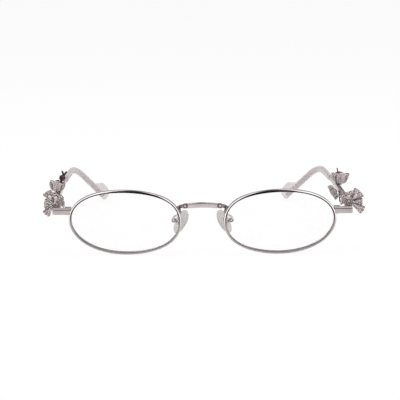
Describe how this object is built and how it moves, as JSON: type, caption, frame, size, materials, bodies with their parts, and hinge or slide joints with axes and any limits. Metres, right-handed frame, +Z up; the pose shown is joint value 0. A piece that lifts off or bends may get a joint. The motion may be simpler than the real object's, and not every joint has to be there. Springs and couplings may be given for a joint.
{
  "type": "eyeglass frame",
  "caption": "Oval metal eyeglass frame with clear lenses, nose pads and temple tips; crystal blossoms and flared buds sit on its folding temples.",
  "frame": {"origin": "middle of the base, on the surface that the rims and the temple tips stand on, midway between the lenses and halfway from the bridge to the tips", "axes": "+X to the wearer's left, +Y back along the open temples, +Z up; the front faces -Y"},
  "size_m": [0.1536, 0.1278, 0.034],
  "materials": {
    "silver": "polished",
    "screw_steel": "satin",
    "dark_metal": "black, polished",
    "clear_lens": "clear, polished",
    "clear_tip": "clear, polished",
    "clear_silicone": "clear, soft",
    "crystal": "cut and polished"
  },
  "bodies": {
    "front": {"rim_left": "silver", "rim_right": "silver", "lens_left": "clear_lens", "lens_right": "clear_lens", "bridge_bar": "silver", "bridge_collar_left": "silver", "bridge_collar_right": "silver", "pad_box_left": "silver", "pad_box_right": "silver", "pad_screw_left": "screw_steel", "pad_screw_right": "screw_steel", "pad_arm_left": "silver", "pad_arm_right": "silver", "end_piece_left": "silver", "end_piece_right": "silver", "hinge_screw_left": "screw_steel", "hinge_screw_right": "screw_steel", "rim_lock_left": "silver", "rim_lock_right": "silver", "rim_lock_screw_left": "screw_steel", "rim_lock_screw_right": "screw_steel"},
    "temple_left": {"temple_arm_left": "silver", "temple_tip_left": "clear_tip", "blossom_left_hub": "silver", "blossom_left_petal_front": "silver", "blossom_left_petal_upper": "silver", "blossom_left_petal_outer": "silver", "blossom_left_petal_lower": "silver", "blossom_left_petal_inner": "silver", "blossom_left_stone_front": "crystal", "blossom_left_stone_upper": "crystal", "stem_left": "silver", "bud_left_upper": "silver", "bud_wire_upper": "dark_metal", "bud_left_lower": "silver", "bud_wire_lower": "dark_metal"},
    "temple_right": {"temple_arm_right": "silver", "temple_tip_right": "clear_tip", "blossom_right_hub": "silver", "blossom_right_petal_front": "silver", "blossom_right_petal_upper": "silver", "blossom_right_petal_outer": "silver", "blossom_right_petal_lower": "silver", "blossom_right_petal_inner": "silver", "blossom_right_stone_front": "crystal", "blossom_right_stone_upper": "crystal", "stem_right": "silver", "bud_right_upper": "silver", "bud_bead": "dark_metal", "bead_wire_inner": "dark_metal", "bead_wire_outer": "dark_metal"},
    "pad_left": {"nose_pad_left": "clear_silicone"},
    "pad_right": {"nose_pad_right": "clear_silicone"}
  },
  "joints": [
    {"name": "temple_left_fold", "type": "hinge", "parent": "front", "child": "temple_left", "pos_m": [0.06795, -0.05154, 0.02071], "axis": [0, 0, 1], "range_deg": [-4, 72]},
    {"name": "temple_right_fold", "type": "hinge", "parent": "front", "child": "temple_right", "pos_m": [-0.06795, -0.05154, 0.02071], "axis": [0, 0, -1], "range_deg": [-1, 82]},
    {"name": "pad_left_rock", "type": "hinge", "parent": "front", "child": "pad_left", "pos_m": [0.01164, -0.05446, 0.01488], "axis": [-0.4876, -0.7457, -0.4542], "range_deg": [-6, 6]},
    {"name": "pad_right_rock", "type": "hinge", "parent": "front", "child": "pad_right", "pos_m": [-0.01164, -0.05446, 0.01488], "axis": [-0.4876, 0.7457, 0.4542], "range_deg": [-6, 6]}
  ]
}
